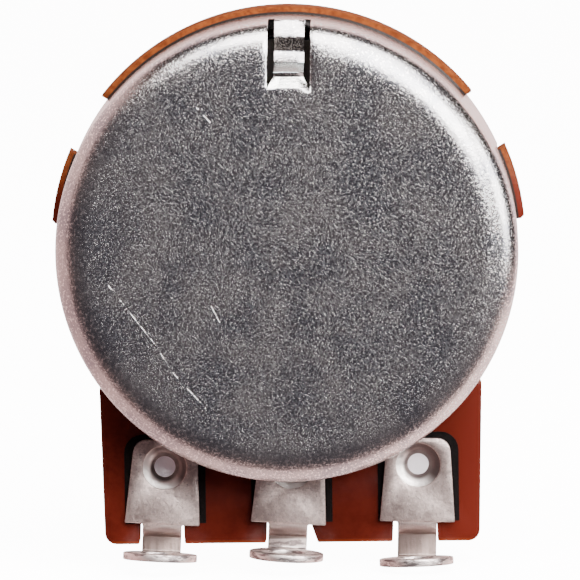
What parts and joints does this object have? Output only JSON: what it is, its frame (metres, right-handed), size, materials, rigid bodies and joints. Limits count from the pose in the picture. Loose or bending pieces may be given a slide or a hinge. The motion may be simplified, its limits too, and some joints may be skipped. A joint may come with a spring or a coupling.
{
  "type": "rotary potentiometer",
  "caption": "Panel-mounted rotary potentiometer: round sheet-metal can on a brown phenolic wafer, solder lugs at the bottom, threaded bushing and split knurled shaft.",
  "frame": {"origin": "on the shaft's axis, in the front plate's face that meets the panel", "axes": "+Y along the shaft, out of the panel's front; -Z towards the solder lugs; +X to the right when the can is seen from behind"},
  "size_m": [0.0246, 0.0277, 0.0295],
  "materials": {
    "can_steel": "plated sheet steel, satin with a fine mottle",
    "plate_steel": "plated sheet steel, satin",
    "bushing_brass": "turned brass, satin",
    "phenolic": "red-brown phenolic laminate, smooth faces and dull cut edges",
    "carbon_print": "black carbon ink, dull",
    "centre_print": "black conductive ink, dull",
    "collector_metal": "silver-plated brass, worn by the fingers",
    "terminal_tin": "tin-plated brass, dull satin",
    "shaft_brass": "turned brass",
    "clip_steel": "spring steel",
    "rotor_moulding": "black-brown moulded phenolic",
    "spring_bronze": "phosphor bronze strip"
  },
  "bodies": {
    "housing": {"rear_can": "can_steel", "front_plate": "plate_steel", "bushing": "bushing_brass", "wafer": "phenolic", "carbon_track": "carbon_print", "centre_print": "centre_print", "collector_ring": "collector_metal", "terminal_left": "terminal_tin", "terminal_centre": "terminal_tin", "terminal_right": "terminal_tin"},
    "rotor": {"shaft": "shaft_brass", "retaining_ring": "clip_steel", "rotor": "rotor_moulding", "contact_spring": "spring_bronze"}
  },
  "joints": [
    {"name": "shaft_turn", "type": "hinge", "parent": "housing", "child": "rotor", "pos_m": [0, 0, 0], "axis": [0, 1, 0], "range_deg": [-150, 150]}
  ]
}
